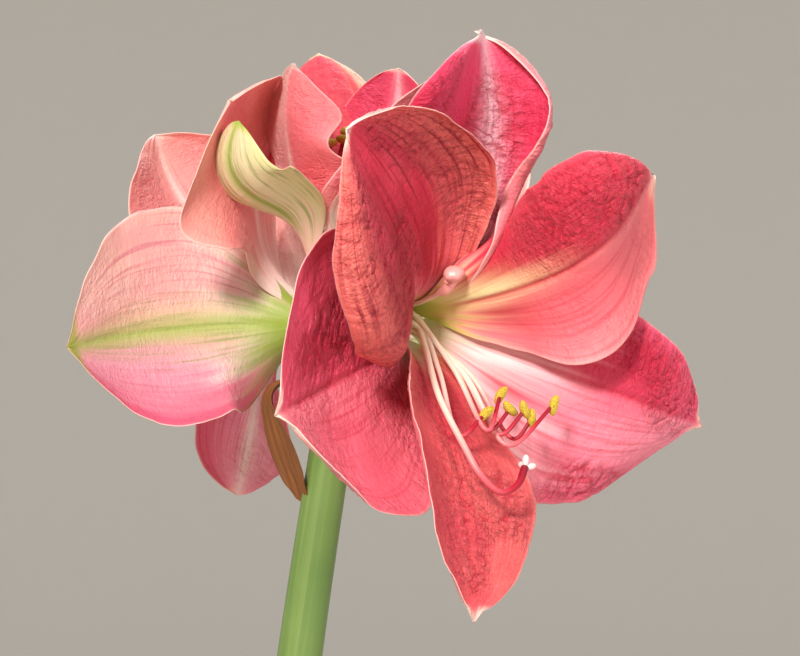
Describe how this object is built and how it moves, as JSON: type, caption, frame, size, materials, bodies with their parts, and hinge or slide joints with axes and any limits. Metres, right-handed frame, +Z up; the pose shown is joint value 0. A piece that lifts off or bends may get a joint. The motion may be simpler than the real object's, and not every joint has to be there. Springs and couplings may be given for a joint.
{
  "type": "potted amaryllis",
  "caption": "Potted amaryllis with red-pink trumpet flowers clustered on one leaning stalk above strap leaves, a bulb and a clay pot",
  "frame": {"origin": "middle of the pot's foot, on the ground", "axes": "+Z up, -Y towards the side the front flower faces, +X to the right as seen from that side"},
  "size_m": [0.3172, 0.2696, 0.6386],
  "materials": {
    "clay": "matt fired clay",
    "soil": "crumbly moist potting soil",
    "bulb_tunic": "dry papery scales",
    "leaf": "smooth waxy leaf",
    "stalk": "smooth waxy stem with a bloom",
    "petal": "silky veined petal",
    "sepal": "silky veined petal with a pale midrib",
    "stamen": "smooth filament and powdery anther",
    "pistil": "smooth",
    "husk": "dry papery sheath"
  },
  "bodies": {
    "root": {"pot": "clay", "potting_soil": "soil", "bulb": "bulb_tunic", "scape": "stalk", "leaf_1": "leaf", "leaf_2": "leaf", "leaf_3": "leaf", "front_stalk": "stalk", "front_pistil": "pistil", "front_stamens": "stamen", "front_upper_left_petal": "petal", "front_upper_right_petal": "petal", "front_bottom_petal": "petal", "front_top_sepal": "sepal", "front_lower_right_sepal": "sepal", "front_lower_left_sepal": "sepal", "left_stalk": "stalk", "left_pistil": "pistil", "left_stamens": "stamen", "left_upper_near_petal": "petal", "left_far_petal": "petal", "left_lower_petal": "petal", "left_near_sepal": "sepal", "left_upper_left_sepal": "sepal", "left_bottom_sepal": "sepal", "upper_stalk": "stalk", "upper_pistil": "pistil", "upper_stamens": "stamen", "upper_front_left_petal": "petal", "upper_back_right_petal": "petal", "upper_front_petal": "petal", "upper_left_sepal": "sepal", "upper_back_sepal": "sepal", "upper_front_right_sepal": "sepal", "back_stalk": "stalk", "back_pistil": "pistil", "back_stamens": "stamen", "back_upper_left_petal": "petal", "back_upper_right_petal": "petal", "back_bottom_petal": "petal", "back_top_sepal": "sepal", "back_lower_right_sepal": "sepal", "back_lower_left_sepal": "sepal", "sheath_valve_1": "husk", "sheath_valve_2": "husk"}
  },
  "joints": []
}
